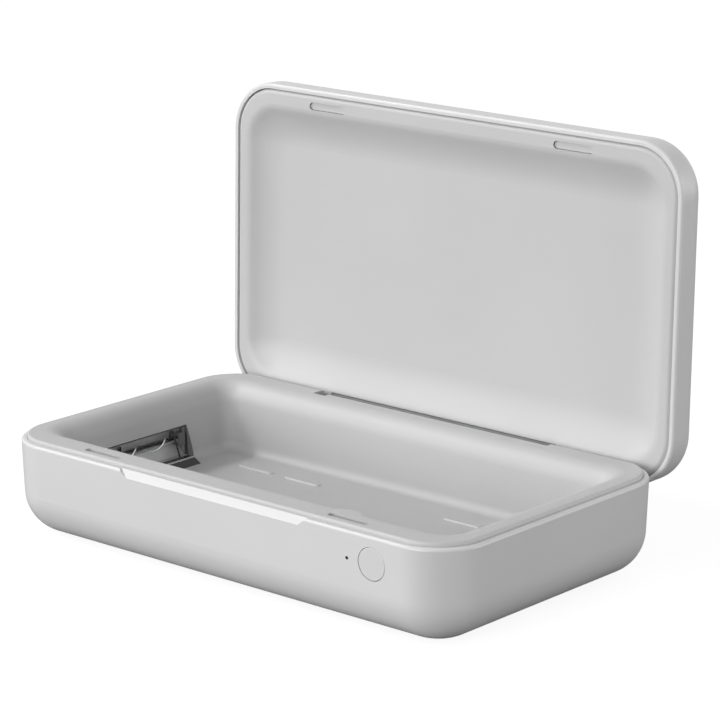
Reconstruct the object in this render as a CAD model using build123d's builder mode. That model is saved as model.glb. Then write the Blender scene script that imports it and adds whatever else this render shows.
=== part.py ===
from build123d import *
import os
from math import cos, radians, sin, tan

os.makedirs("parts", exist_ok=True)

# A box that disinfects a phone with ultraviolet light: a base with a chamber, and a hinged lid.
# Millimetres and degrees. The origin is the middle of the base at the plane that its feet stand on.
# X runs along the box, -Y is the front with the button, and the hinge is at the back.

# Casings: the lid and the base share one plan
body_width = 230.0
body_depth = 135.2
plan_corner = 21.1
casing_wall = 2.2
rim_round = 1.2
base_height = 39.0
base_draft = 2.1
base_round = 17.6
lid_height = 15.0
lid_draft = 1.0
lid_round = 6.8

# Chamber tray, set in the base
seam_gap = 0.2
skin = 2.0
lip_rise = 1.6
lip_round = 1.0
skirt_depth = 4.1
skirt_wall = 1.6
side_lip = 7.0
end_lip = 11.1
roll_radius = 8.2
under_floor = 7.8
chamber_draft = 3.0
chamber_corner = 14.5
floor_fillet = 4.0
rib_length = 18.4
rib_width = 2.8
rib_height = 0.8
rib_columns = (42.2, 67.6)
rib_row = 31.3

# Dish in the lid's liner
dish_side_lip = 6.3
dish_end_lip = 8.2
dish_depth = 5.7
dish_draft = 55.0
dish_corner = 17.0
dish_mouth_round = 6.0
dish_floor_round = 25.0
liner_round = 1.9
liner_post_radius = 3.0
liner_post_x = 60.0
liner_post_y = 25.0

# Hinge
open_angle = 91.2
closed_gap = 0.25
hinge_setback = 5.137
hinge_drop = 5.396
barrel_radius = 2.8
pin_radius = 1.2
pin_press_gap = 0.02
pin_run_gap = 0.05
notch_gap = 1.85
notch_tray_setback = 1.863
notch_sill_drop = 1.804
notch_bay = 6.6
notch_bay_setback = 4.26
leaf_half = 58.4
leaf_front = 3.56
leaf_back = 2.54
leaf_thickness = 2.0
leaf_recess = 0.2
leaf_liner_gap = 0.4
leaf_boss_lap = 0.3
arm_half_thickness = 1.5
ear_gap = 0.7
end_ear = 6.0
end_ear_inset = 1.0
middle_ear = 11.0
bracket_inset = 1.4
bracket_front = 10.2
bracket_back = 2.04
bracket_thickness = 2.0
bracket_drop = 1.0
hinge_screw_setback = 6.9
hinge_post_radius = 3.5
leaf_screw_inset = 5.4
leaf_pilot = 6.0
hinge_pilot = 8.0

# Finger scoop in the base's front edge
scoop_top_half = 48.0
scoop_bottom_half = 44.0
scoop_height = 3.3
scoop_bite = 1.7

# Catch: a magnet under a cap in each of two slots in both front lips
slot_inset = 51.95
slot_setback = 7.0
slot_length = 19.4
slot_width = 3.2
slot_gap = 0.2
slot_recess = 0.8
cap_thickness = 1.2
magnet_length = 16.0
magnet_height = 3.0
well_wall = 1.2
well_floor = 1.0

# Lid sensor
boss_shift = 4.85
boss_setback = 7.9
boss_radius = 8.0
boss_height = 6.0
sensor_length = 4.0
sensor_width = 3.0
sensor_height = 1.5
sensor_setback = 13.1
sensor_magnet_radius = 2.5
sensor_magnet_height = 1.5
sensor_seat_radius = 3.2
sensor_seat_height = 5.5

# Button and its lamp
button_inset = 35.3
button_drop = 10.6
button_radius = 6.25
button_gap = 0.2
button_edge = 0.3
button_travel = 0.6
flange_radius = 7.3
flange_thickness = 1.0
flange_gap = 0.05
stem_radius = 1.8
stem_length = 1.1
plunger_radius = 1.2
plunger_gap = 0.05
plunger_reach = 1.3
switch_side = 6.0
switch_height = 2.6
switch_clearance = 0.2
switch_wall = 0.5
button_board_height = 9.0
button_board_thickness = 1.2
button_post_radius = 2.2
button_post_left = 16.6
button_post_right = 10.4
button_board_margin = 3.0
light_shift = 11.7
light_radius = 0.65
light_flange = 1.2
light_gap = 0.02
diode_length = 2.2
diode_width = 1.4
diode_height = 1.0

# Feet, and the case screws under them
foot_inset_x = 33.0
foot_inset_y = 31.6
foot_radius = 6.0
foot_thickness = 1.5
foot_chamfer = 0.3
foot_recess = 0.9
foot_gap = 0.1
case_boss_radius = 4.0
case_boss_height = 2.4
case_seat_depth = 2.1
tray_post_radius = 3.5
case_screw_grip = 5.4

# Screws
screw_radius = 1.3
screw_head_radius = 2.4
screw_head_height = 1.6
screw_pilot_gap = 0.02
screw_free_gap = 0.2
small_screw_radius = 0.9
small_head_radius = 1.7
small_head_height = 1.0
drive_share = 0.45
board_pilot = 3.0
inlet_pilot = 6.0
button_pilot = 4.0

# Lamp unit in each end wall of the chamber
pocket_half = 23.0
pocket_low = 2.4
pocket_high = 15.3
pocket_inset = 10.0
pocket_wall = 1.5
cover_half = 22.8
cover_top_inset = 15.6
cover_middle_inset = 18.1
cover_foot_inset = 19.7
cover_middle_height = 8.6
cover_wall = 0.8
cover_lap = 1.0
cover_gap = 0.05
cover_top_gap = 0.3
sill_toe_inset = 23.7
sill_heel_inset = 18.8
sill_back_inset = 16.4
reflector_half = 22.4
reflector_edge_inset = 14.0
reflector_back_inset = 10.5
reflector_margin = 0.2
reflector_wall = 0.5
lamp_inset = 13.7
lamp_height = 9.6
tube_radius = 1.5
tube_half = 19.5
coil_radius = 2.1
coil_wire = 0.4
coil_pitch = 17.0
coil_turns = 1.55
coil_phase = {"left": 180.0, "right": 0.0}
holder_front = 2.0
holder_back = 1.7
holder_half_height = 2.5
holder_near = 18.2
holder_far = 21.8
holder_gap = 0.05
terminal_radius = 0.4
terminal_y = 16.0
terminal_rise = 4.0
terminal_lean = 4.0
terminal_bend = 0.6
terminal_hook = 1.7
terminal_splay = 0.5
terminal_step = 0.2
terminal_foot = 0.6

# Boards and what is on them
board_left = -66.0
board_right = 34.0
board_half_depth = 28.0
board_thickness = 1.6
board_lift = 2.2
board_post_radius = 2.6
board_post_margin = 4.0
transformer_length = 20.0
transformer_width = 12.0
transformer_height = 3.0
transformer_apart = 26.0
chip_side = 9.0
chip_row = 14.0
chip_height = 1.4
connector_length = 6.0
connector_width = 5.0
connector_height = 3.0
lead_radius = 0.55
lead_straight = 0.1
lead_rise = 1.0
lead_inset = 12.0
cable_radius = 0.9
cable_run = 14.0
cable_drop = 16.0
button_plug_x = 20.0
inlet_plug_x = -50.0
back_plug_x = 3.5

# Charging inlet
inlet_inset = 35.0
inlet_z = 23.4
inlet_width = 9.0
inlet_height = 3.2
inlet_length = 7.3
inlet_wall = 0.3
inlet_tongue_width = 6.7
inlet_tongue_height = 0.7
inlet_tongue_setback = 1.0
inlet_back_wall = 1.0
inlet_recess = 0.8
inlet_gap = 0.3
inlet_board_width = 16.0
inlet_board_length = 12.0
inlet_board_thickness = 1.2
inlet_board_gap = 1.0
inlet_post_x = 5.9
inlet_post_radius = 2.2

# Levels
base_z = foot_thickness - foot_recess
rim_z = base_z + base_height
lip_z = rim_z + lip_rise
inside_z = base_z + casing_wall
floor_z = inside_z + under_floor + skin
chamber_depth = lip_z - floor_z
wall_x = body_width / 2
back_y = body_depth / 2
axis_y = back_y - hinge_setback
axis_z = lip_z - hinge_drop
wide = 2 * body_width

# Places along the box, counted from its ends and its rim
button_z = rim_z - button_drop
button_x = wall_x - button_inset
slot_x = wall_x - slot_inset
boss_x = slot_x - boss_shift
foot_x = wall_x - foot_inset_x
foot_y = back_y - foot_inset_y
inlet_x = inlet_inset - wall_x
notch_half = leaf_half + notch_gap
bracket_half = leaf_half - bracket_inset
leaf_screw_x = (leaf_half - leaf_screw_inset, (leaf_half - leaf_screw_inset) / 2)


def facing_down(z):
    return Plane(origin=(0, 0, z), x_dir=(1, 0, 0), z_dir=(0, 0, -1))


# The lid is modelled in its own frame: x along the hinge, y to the back and z up when it is closed,
# with z = 0 on its rim. Opening turns that frame about the hinge axis.
turn = radians(open_angle)
rim_lift = hinge_drop + closed_gap
lid_plane = Plane(
    origin=(
        0,
        axis_y - axis_y * cos(turn) + rim_lift * sin(turn),
        axis_z + axis_y * sin(turn) + rim_lift * cos(turn),
    ),
    x_dir=(1, 0, 0),
    z_dir=(0, sin(turn), cos(turn)),
)
lid_side = Plane(origin=lid_plane.origin, x_dir=lid_plane.y_dir, z_dir=(1, 0, 0))
lip_plane = facing_down(lip_z)


# A block with a rounded plan that narrows along the plane's normal.
def drafted_block(plane, length, depth, corner, height, draft, far_round=0.0, near_round=0.0):
    along = Axis(plane.origin, plane.z_dir)
    with BuildPart() as block:
        with BuildSketch(plane):
            RectangleRounded(length, depth, corner)
        extrude(amount=height, taper=draft)
        if far_round:
            fillet(block.faces().sort_by(along)[-1].edges(), far_round)
        if near_round:
            fillet(block.faces().sort_by(along)[0].edges(), near_round)
    return block.part


# The hollow of a dish: a drafted block with a round end, open through a rolled mouth.
def dish(plane, length, depth, corner, sink, draft, mouth_round, end_round):
    along = Axis(plane.origin, plane.z_dir)
    with BuildPart() as hollow:
        with BuildSketch(plane):
            RectangleRounded(length, depth, corner)
        extrude(amount=sink, taper=draft)
        fillet(hollow.faces().sort_by(along)[-1].edges(), end_round)
        with BuildSketch(plane):
            Rectangle(wide, wide)
        extrude(amount=-sink)
        mouth = [face for face in hollow.faces() if face.inner_wires()][0]
        fillet(mouth.inner_wires()[0].edges(), mouth_round)
    return hollow.part


# The hollow of a dish and the outside of its skin, from the sizes where its flat lip ends.
def dish_pair(plane, length, depth, corner, sink, draft, mouth_round, end_round):
    reach = mouth_round * tan(radians(45 - draft / 2))
    grow = skin * (1 / cos(radians(draft)) - tan(radians(draft)))
    sizes = [length - 2 * reach, depth - 2 * reach, corner - reach]
    hollow = dish(plane, *sizes, sink, draft, mouth_round, end_round)
    sizes = [sizes[0] + 2 * grow, sizes[1] + 2 * grow, sizes[2] + grow]
    outside = dish(plane.offset(skin), *sizes, sink, draft, mouth_round - skin, end_round + skin)
    return hollow, outside


# The outside and the inside of a casing.
def casing_pair(plane, height, draft, far_round):
    outside = drafted_block(
        plane, body_width, body_depth, plan_corner, height, draft, far_round, rim_round
    )
    inside = drafted_block(
        plane,
        body_width - 2 * casing_wall,
        body_depth - 2 * casing_wall,
        plan_corner - casing_wall,
        height - casing_wall,
        draft,
        far_round - casing_wall,
    )
    return outside, inside


# A block that fits inside a casing's wall with the seam between them.
def lining_block(plane, height, draft, rise=0.0, inset=0.0, edge_round=0.0):
    step = casing_wall + seam_gap + inset - rise * tan(radians(draft))
    return drafted_block(
        plane, body_width - 2 * step, body_depth - 2 * step, plan_corner - step, height, draft,
        near_round=edge_round,
    )


# Round bars of one radius, from a plane to a distance along its normal.
def bars(plane, spots, radius, length):
    with BuildPart() as group:
        with BuildSketch(plane):
            with Locations(*spots):
                Circle(radius)
        extrude(amount=length)
    return group.part


# Screws whose shanks run along the plane's normal, with heads above it or sunk below it.
def screws(plane, spots, radius, head_radius, head_height, length, sunk=False):
    drive = head_radius * drive_share
    with BuildPart() as group:
        with BuildSketch(plane):
            with Locations(*spots):
                Circle(radius)
        extrude(amount=length)
        with BuildSketch(plane):
            with Locations(*spots):
                Circle(head_radius)
        if sunk:
            extrude(amount=head_radius - radius, taper=45)
            drive_plane, drive_depth = plane, (head_radius - radius) / 2
        else:
            extrude(amount=-head_height)
            drive_plane, drive_depth = plane.offset(-head_height), head_height / 2
        with BuildSketch(drive_plane):
            with Locations(*spots):
                RegularPolygon(drive, 6)
        extrude(amount=drive_depth, mode=Mode.SUBTRACT)
    return group.part


# A box standing on a plane, from its centre and size there.
def pads(plane, spots, length, width, height):
    with BuildPart() as group:
        with BuildSketch(plane):
            with Locations(*spots):
                Rectangle(length, width)
        extrude(amount=height)
    return group.part


# A wire along straight runs with rounded corners.
def wire(points, bend, radius):
    with BuildPart() as strand:
        with BuildLine() as route:
            FilletPolyline(*points, radius=bend)
        with BuildSketch(Plane(origin=route.line @ 0, z_dir=route.line % 0)):
            Circle(radius)
        sweep()
    return strand.part


four_feet = [(sx * foot_x, sy * foot_y) for sx in (-1, 1) for sy in (-1, 1)]
base_outside, base_inside = casing_pair(facing_down(rim_z), base_height, base_draft, base_round)
lid_outside, lid_inside = casing_pair(lid_plane, lid_height, lid_draft, lid_round)

# The button and what is behind it lie square to the sloping front wall.
front_y = -(body_depth / 2 - (rim_z - button_z) * tan(radians(base_draft)))
press = radians(base_draft)
button_plane = Plane(
    origin=(button_x, front_y, button_z), x_dir=(1, 0, 0), z_dir=(0, -cos(press), -sin(press))
)
inward_plane = Plane(origin=button_plane.origin, x_dir=(1, 0, 0), z_dir=(0, cos(press), sin(press)))
flange_depth = casing_wall + flange_gap
stem_depth = flange_depth + flange_thickness
plunger_depth = stem_depth + stem_length
switch_depth = plunger_depth + button_travel + switch_clearance
button_board_depth = switch_depth + switch_height
button_posts = [(-button_post_left, 0), (button_post_right, 0)]
light_spot = (-light_shift, 0)

# What lets the lid's back edge turn past the base: a round about the hinge axis
with BuildPart() as back_relief:
    with BuildSketch(Plane.YZ.offset(-wide / 2)):
        with Locations((axis_y, axis_z)):
            Rectangle(wide, wide, align=(Align.MIN, Align.MIN))
            Circle(hinge_drop, mode=Mode.SUBTRACT)
    extrude(amount=wide)

# ---- Base casing ----
board_z = inside_z + board_lift
board_posts = [
    (x, sy * (board_half_depth - board_post_margin))
    for x in (board_left + board_post_margin, board_right - board_post_margin)
    for sy in (-1, 1)
]
bracket_top = axis_z - barrel_radius - bracket_drop
bracket_z = bracket_top - bracket_thickness
end_ear_x = bracket_half - end_ear_inset - end_ear / 2
hinge_screw_y = axis_y - hinge_screw_setback
hinge_spots = [(-end_ear_x, hinge_screw_y), (end_ear_x, hinge_screw_y)]
inlet_board_z = inlet_z - inlet_height / 2 - inlet_board_thickness
inlet_wall_y = back_y - (rim_z - inlet_z) * tan(radians(base_draft))
inlet_mouth_y = inlet_wall_y - inlet_recess
inlet_board_back = inlet_wall_y - casing_wall - inlet_board_gap
inlet_board_y = inlet_board_back - inlet_board_length / 2
inlet_posts = [(inlet_x - inlet_post_x, inlet_board_y), (inlet_x + inlet_post_x, inlet_board_y)]
case_boss_top = inside_z + case_boss_height
case_seat_z = base_z + foot_recess + case_seat_depth

with BuildPart() as base_posts:
    add(bars(Plane.XY, four_feet, case_boss_radius, case_boss_top))
    add(bars(Plane.XY, board_posts, board_post_radius, board_z))
    add(bars(Plane.XY, hinge_spots, hinge_post_radius, bracket_z))
    add(bars(Plane.XY, inlet_posts, inlet_post_radius, inlet_board_z))
    add(base_outside, mode=Mode.INTERSECT)

with BuildPart() as finger_scoop:
    with BuildSketch(Plane.XY.offset(rim_z - scoop_height)):
        with Locations((0, -body_depth)):
            Rectangle(2 * scoop_bottom_half, body_depth / 2, align=(Align.CENTER, Align.MIN))
    with BuildSketch(Plane.XY.offset(rim_z)):
        with Locations((0, -body_depth)):
            Rectangle(2 * scoop_top_half, body_depth / 2 + scoop_bite, align=(Align.CENTER, Align.MIN))
    loft(ruled=True)

with BuildPart() as base_shell:
    add(base_outside)
    add(base_inside, mode=Mode.SUBTRACT)
    add(base_posts.part)
    # posts for the button's board stand on the front wall
    with BuildSketch(inward_plane.offset(casing_wall / 2)):
        with Locations(*button_posts):
            Circle(button_post_radius)
    extrude(amount=button_board_depth - casing_wall / 2)
    add(finger_scoop.part, mode=Mode.SUBTRACT)
    add(back_relief.part, mode=Mode.SUBTRACT)
    # the notch that the hinge's arms swing through
    with BuildSketch(Plane.XY.offset(axis_z - notch_sill_drop)):
        with Locations((0, axis_y - barrel_radius)):
            Rectangle(2 * notch_half, body_depth, align=(Align.CENTER, Align.MIN))
    extrude(amount=base_height, mode=Mode.SUBTRACT)
    # button and light
    with BuildSketch(button_plane):
        Circle(button_radius + button_gap)
        with Locations(light_spot):
            Circle(light_radius + light_gap)
    extrude(amount=-stem_depth, mode=Mode.SUBTRACT)
    # charging inlet
    with BuildSketch(Plane(origin=(inlet_x, back_y, inlet_z), x_dir=(1, 0, 0), z_dir=(0, -1, 0))):
        SlotOverall(inlet_width + 2 * inlet_gap, inlet_height + 2 * inlet_gap)
    extrude(amount=inlet_length, mode=Mode.SUBTRACT)
    # feet, case screws and pilot holes
    with BuildSketch(Plane.XY.offset(base_z)):
        with Locations(*four_feet):
            Circle(foot_radius + foot_gap)
    extrude(amount=foot_recess, mode=Mode.SUBTRACT)
    with BuildSketch(Plane.XY.offset(base_z)):
        with Locations(*four_feet):
            Circle(screw_head_radius + screw_free_gap)
    extrude(amount=case_seat_z - base_z, mode=Mode.SUBTRACT)
    with BuildSketch(Plane.XY.offset(base_z)):
        with Locations(*four_feet):
            Circle(screw_radius + screw_free_gap)
    extrude(amount=case_boss_top, mode=Mode.SUBTRACT)
    with BuildSketch(Plane.XY.offset(bracket_z)):
        with Locations(*hinge_spots):
            Circle(screw_radius + screw_pilot_gap)
    extrude(amount=-hinge_pilot, mode=Mode.SUBTRACT)
    with BuildSketch(Plane.XY.offset(board_z)):
        with Locations(*board_posts):
            Circle(small_screw_radius + screw_pilot_gap)
    extrude(amount=-board_pilot, mode=Mode.SUBTRACT)
    with BuildSketch(Plane.XY.offset(inlet_board_z)):
        with Locations(*inlet_posts):
            Circle(small_screw_radius + screw_pilot_gap)
    extrude(amount=-inlet_pilot, mode=Mode.SUBTRACT)
    with BuildSketch(inward_plane.offset(button_board_depth)):
        with Locations(*button_posts):
            Circle(small_screw_radius + screw_pilot_gap)
    extrude(amount=-button_pilot, mode=Mode.SUBTRACT)

base_shell.part.label = "base_shell"
export_step(base_shell.part, "parts/base_shell.step")

# ---- Chamber tray ----
chamber, chamber_skin = dish_pair(
    lip_plane,
    body_width - 2 * side_lip,
    body_depth - 2 * end_lip,
    chamber_corner,
    chamber_depth,
    chamber_draft,
    roll_radius,
    floor_fillet,
)
lip_block = lining_block(
    lip_plane, lip_z - case_boss_top, base_draft, lip_rise, edge_round=lip_round
)
slot_y = back_y - slot_setback
slot_depth = slot_recess + cap_thickness + magnet_height
well_length = slot_length + 2 * well_wall
well_width = slot_width + 2 * well_wall
tray_slots = [(-slot_x, slot_y), (slot_x, slot_y)]
pocket_x = wall_x - pocket_inset
pocket_low_z = floor_z + pocket_low
pocket_high_z = floor_z + pocket_high

# The sill under a lamp's cover, in the X-Z plane
sill_points = [
    (wall_x - sill_toe_inset, floor_z),
    (wall_x - cover_foot_inset, pocket_low_z),
    (wall_x - sill_back_inset, pocket_low_z),
    (wall_x - sill_heel_inset, floor_z),
]

with BuildPart() as skirt:
    add(lining_block(lip_plane, skirt_depth, base_draft, lip_rise, edge_round=lip_round))
    add(lining_block(lip_plane, skirt_depth, base_draft, lip_rise, skirt_wall), mode=Mode.SUBTRACT)

with BuildPart() as tray_lumps:
    with BuildSketch(Plane.XZ):
        for side in (-1, 1):
            with Locations((side * (pocket_x + pocket_wall), pocket_low_z - pocket_wall)):
                Rectangle(
                    pocket_wall + pocket_inset,
                    pocket_high_z - pocket_low_z + 2 * pocket_wall,
                    align=(Align.MAX if side > 0 else Align.MIN, Align.MIN),
                )
    extrude(amount=pocket_half + pocket_wall, both=True)
    with BuildSketch(lip_plane):
        with Locations(*tray_slots):
            SlotOverall(well_length, well_width)
    extrude(amount=slot_depth + well_floor)
    with BuildSketch(Plane.XY.offset(case_boss_top)):
        with Locations(*four_feet):
            Circle(tray_post_radius)
    extrude(amount=floor_z - case_boss_top)

with BuildPart() as sensor_boss:
    with BuildSketch(lip_plane):
        with Locations((boss_x, back_y - boss_setback)):
            Circle(boss_radius)
    extrude(amount=boss_height)
    add(lip_block, mode=Mode.INTERSECT)

with BuildPart() as base_tray:
    add(chamber_skin)
    add(tray_lumps.part)
    add(lip_block, mode=Mode.INTERSECT)
    add(skirt.part)
    add(chamber, mode=Mode.SUBTRACT)
    add(sensor_boss.part)
    # ribs that lift a phone off the floor
    with BuildSketch(Plane.XY.offset(floor_z)):
        with Locations(*[(sx * x, sy * rib_row) for x in rib_columns for sx in (-1, 1) for sy in (-1, 1)]):
            SlotOverall(rib_length, rib_width)
    extrude(amount=rib_height)
    with BuildSketch(lip_plane):
        with Locations(*tray_slots):
            SlotOverall(slot_length, slot_width)
    extrude(amount=slot_depth, mode=Mode.SUBTRACT)
    # pockets behind the lamp covers, and the seats of the sills
    with BuildSketch(Plane.XZ):
        for side in (-1, 1):
            with Locations((side * pocket_x, pocket_low_z)):
                Rectangle(
                    pocket_inset,
                    pocket_high_z - pocket_low_z,
                    align=(Align.MAX if side > 0 else Align.MIN, Align.MIN),
                )
            with BuildLine():
                Polyline(*[(side * x, z) for x, z in sill_points], close=True)
            make_face()
    extrude(amount=pocket_half, both=True, mode=Mode.SUBTRACT)
    add(back_relief.part, mode=Mode.SUBTRACT)
    with BuildSketch(Plane.XY.offset(axis_z - barrel_radius)):
        with Locations((0, axis_y - notch_tray_setback)):
            Rectangle(2 * notch_half, body_depth, align=(Align.CENTER, Align.MIN))
        # a bay that widens the notch's left end
        with Locations((-notch_half, axis_y - notch_bay_setback)):
            Rectangle(notch_bay, body_depth, align=(Align.MIN, Align.MIN))
    extrude(amount=base_height, mode=Mode.SUBTRACT)
    with BuildSketch(Plane.XY.offset(case_boss_top)):
        with Locations(*four_feet):
            Circle(screw_radius + screw_pilot_gap)
    extrude(amount=case_screw_grip + screw_free_gap, mode=Mode.SUBTRACT)

base_tray.part.label = "base_tray"
export_step(base_tray.part, "parts/base_tray.step")

# ---- Feet and case screws ----
with BuildPart() as rubber_feet:
    with BuildSketch(Plane.XY):
        with Locations(*four_feet):
            Circle(foot_radius)
    extrude(amount=foot_thickness)
    chamfer(rubber_feet.faces().group_by(Axis.Z)[0].edges(), foot_chamfer)

rubber_feet.part.label = "rubber_feet"
export_step(rubber_feet.part, "parts/rubber_feet.step")

case_screws = screws(
    Plane.XY.offset(case_seat_z),
    four_feet,
    screw_radius,
    screw_head_radius,
    screw_head_height,
    case_boss_top - case_seat_z + case_screw_grip,
)
case_screws.label = "case_screws"
export_step(case_screws, "parts/case_screws.step")

# ---- Hinge in the base ----
ear_spans = [(-end_ear_x, end_ear / 2), (0, middle_ear / 2), (end_ear_x, end_ear / 2)]
with BuildPart() as hinge_bracket:
    with BuildSketch(Plane.XY.offset(bracket_z)):
        with Locations((0, axis_y - bracket_front)):
            Rectangle(2 * bracket_half, bracket_front + bracket_back, align=(Align.CENTER, Align.MIN))
    extrude(amount=bracket_thickness)
    for ear_x, ear_half in ear_spans:
        with BuildSketch(Plane.YZ.offset(ear_x)):
            with Locations((axis_y, axis_z)):
                Circle(barrel_radius)
            with Locations((axis_y - barrel_radius, axis_z)):
                Rectangle(
                    barrel_radius + bracket_back,
                    axis_z - bracket_top,
                    align=(Align.MIN, Align.MAX),
                )
        extrude(amount=ear_half, both=True)
    with BuildSketch(Plane.YZ):
        with Locations((axis_y, axis_z)):
            Circle(pin_radius + pin_press_gap)
    extrude(amount=bracket_half, both=True, mode=Mode.SUBTRACT)
    with BuildSketch(Plane.XY.offset(bracket_z)):
        with Locations(*hinge_spots):
            Circle(screw_radius + screw_free_gap)
    extrude(amount=bracket_thickness, mode=Mode.SUBTRACT)

hinge_bracket.part.label = "hinge_bracket"
export_step(hinge_bracket.part, "parts/hinge_bracket.step")

with BuildPart() as hinge_pin:
    with BuildSketch(Plane.YZ):
        with Locations((axis_y, axis_z)):
            Circle(pin_radius)
    extrude(amount=end_ear_x + end_ear / 2, both=True)

hinge_pin.part.label = "hinge_pin"
export_step(hinge_pin.part, "parts/hinge_pin.step")

hinge_screws = screws(
    facing_down(bracket_top),
    [(x, -y) for x, y in hinge_spots],
    screw_radius,
    screw_head_radius,
    screw_head_height,
    bracket_thickness + hinge_pilot - screw_free_gap,
)
hinge_screws.label = "hinge_screws"
export_step(hinge_screws, "parts/hinge_screws.step")

# ---- Lid ----
dish_hollow, dish_skin = dish_pair(
    lid_plane,
    body_width - 2 * dish_side_lip,
    body_depth - 2 * dish_end_lip,
    dish_corner,
    dish_depth,
    dish_draft,
    dish_mouth_round,
    dish_floor_round,
)
lid_slots = [(-slot_x, -slot_y), (slot_x, -slot_y)]
liner_posts = [(sx * liner_post_x, sy * liner_post_y) for sx in (-1, 1) for sy in (-1, 1)]
sensor_seat = (boss_x, -(back_y - sensor_setback))
leaf_low = leaf_recess
leaf_high = leaf_recess + leaf_thickness
leaf_y = axis_y + (leaf_back - leaf_front) / 2
leaf_spots = [(sx * x, leaf_y) for x in leaf_screw_x for sx in (-1, 1)]
lid_roof = lid_height - casing_wall
leaf_boss_radius = leaf_back + leaf_boss_lap

with BuildPart() as lid_posts:
    add(bars(lid_plane.offset(dish_depth + skin), liner_posts, liner_post_radius, lid_roof))
    add(bars(lid_plane.offset(leaf_high), leaf_spots, leaf_boss_radius, lid_roof))
    add(lid_outside, mode=Mode.INTERSECT)

with BuildPart() as lid_shell:
    add(lid_outside)
    add(lid_inside, mode=Mode.SUBTRACT)
    add(lid_posts.part)
    with BuildSketch(lid_plane.offset(leaf_high)):
        with Locations(*leaf_spots):
            Circle(screw_radius + screw_pilot_gap)
    extrude(amount=leaf_pilot, mode=Mode.SUBTRACT)

lid_shell.part.label = "lid_shell"
export_step(lid_shell.part, "parts/lid_shell.step")

with BuildPart() as lid_liner:
    add(dish_skin)
    with BuildSketch(lid_plane):
        with Locations(*lid_slots):
            SlotOverall(well_length, well_width)
    extrude(amount=slot_depth + well_floor)
    with BuildSketch(lid_plane):
        with Locations(sensor_seat):
            Circle(sensor_seat_radius)
    extrude(amount=sensor_seat_height)
    add(lining_block(lid_plane, lid_roof, lid_draft, edge_round=liner_round), mode=Mode.INTERSECT)
    add(dish_hollow, mode=Mode.SUBTRACT)
    with BuildSketch(lid_plane):
        with Locations(*lid_slots):
            SlotOverall(slot_length, slot_width)
    extrude(amount=slot_depth, mode=Mode.SUBTRACT)
    with BuildSketch(lid_plane):
        with Locations((0, axis_y - leaf_front - leaf_liner_gap)):
            Rectangle(2 * (leaf_half + leaf_liner_gap), body_depth, align=(Align.CENTER, Align.MIN))
    extrude(amount=lid_roof, mode=Mode.SUBTRACT)

lid_liner.part.label = "lid_liner"
export_step(lid_liner.part, "parts/lid_liner.step")

# ---- Hinge leaf ----
arm_spans = []
arm_near = middle_ear / 2 + ear_gap
arm_far = end_ear_x - end_ear / 2 - ear_gap
for side in (-1, 1):
    arm_spans.append((side * (arm_near + arm_far) / 2, (arm_far - arm_near) / 2))

with BuildPart() as hinge_leaf:
    with BuildSketch(lid_plane.offset(leaf_low)):
        with Locations((0, axis_y - leaf_front)):
            Rectangle(2 * leaf_half, leaf_front + leaf_back, align=(Align.CENTER, Align.MIN))
    extrude(amount=leaf_thickness)
    for arm_x, arm_half in arm_spans:
        with BuildSketch(lid_side.offset(arm_x)):
            with Locations((axis_y, -rim_lift)):
                Circle(barrel_radius)
                Rectangle(
                    2 * arm_half_thickness, rim_lift + leaf_low, align=(Align.CENTER, Align.MIN)
                )
        extrude(amount=arm_half, both=True)
    with BuildSketch(lid_side):
        with Locations((axis_y, -rim_lift)):
            Circle(pin_radius + pin_run_gap)
    extrude(amount=leaf_half, both=True, mode=Mode.SUBTRACT)
    sink_radius = screw_head_radius + screw_pilot_gap
    with BuildSketch(lid_plane.offset(leaf_low)):
        with Locations(*leaf_spots):
            Circle(sink_radius)
    extrude(amount=sink_radius - screw_radius - screw_free_gap, taper=45, mode=Mode.SUBTRACT)
    with BuildSketch(lid_plane.offset(leaf_low)):
        with Locations(*leaf_spots):
            Circle(screw_radius + screw_free_gap)
    extrude(amount=leaf_thickness, mode=Mode.SUBTRACT)

hinge_leaf.part.label = "hinge_leaf"
export_step(hinge_leaf.part, "parts/hinge_leaf.step")

leaf_screws = screws(
    lid_plane.offset(leaf_low),
    leaf_spots,
    screw_radius,
    screw_head_radius,
    screw_head_height,
    leaf_thickness + leaf_pilot - screw_free_gap,
    sunk=True,
)
leaf_screws.label = "leaf_screws"
export_step(leaf_screws, "parts/leaf_screws.step")


# ---- Catch magnets and their caps, in the base and in the lid ----
def catch_caps(plane, spots):
    with BuildPart() as caps:
        with BuildSketch(plane.offset(slot_recess)):
            with Locations(*spots):
                SlotOverall(slot_length - 2 * slot_gap, slot_width - 2 * slot_gap)
        extrude(amount=cap_thickness)
    return caps.part


def catch_magnets(plane, spots):
    depth = slot_recess + cap_thickness
    return pads(plane.offset(depth), spots, magnet_length, slot_width - 2 * slot_gap, magnet_height)


for place, plane, spots in (("base", lip_plane, tray_slots), ("lid", lid_plane, lid_slots)):
    caps = catch_caps(plane, spots)
    caps.label = f"{place}_magnet_caps"
    export_step(caps, f"parts/{place}_magnet_caps.step")
    magnets = catch_magnets(plane, spots)
    magnets.label = f"{place}_magnets"
    export_step(magnets, f"parts/{place}_magnets.step")

# ---- Lid sensor under the boss, and the magnet that it feels, on a seat behind the liner ----
lid_sensor = pads(
    lip_plane.offset(boss_height),
    [(boss_x, back_y - sensor_setback)],
    sensor_length,
    sensor_width,
    sensor_height,
)
lid_sensor.label = "lid_sensor"
export_step(lid_sensor, "parts/lid_sensor.step")

sensor_magnet = bars(
    lid_plane.offset(sensor_seat_height),
    [sensor_seat],
    sensor_magnet_radius,
    sensor_magnet_height,
)
sensor_magnet.label = "sensor_magnet"
export_step(sensor_magnet, "parts/sensor_magnet.step")

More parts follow.
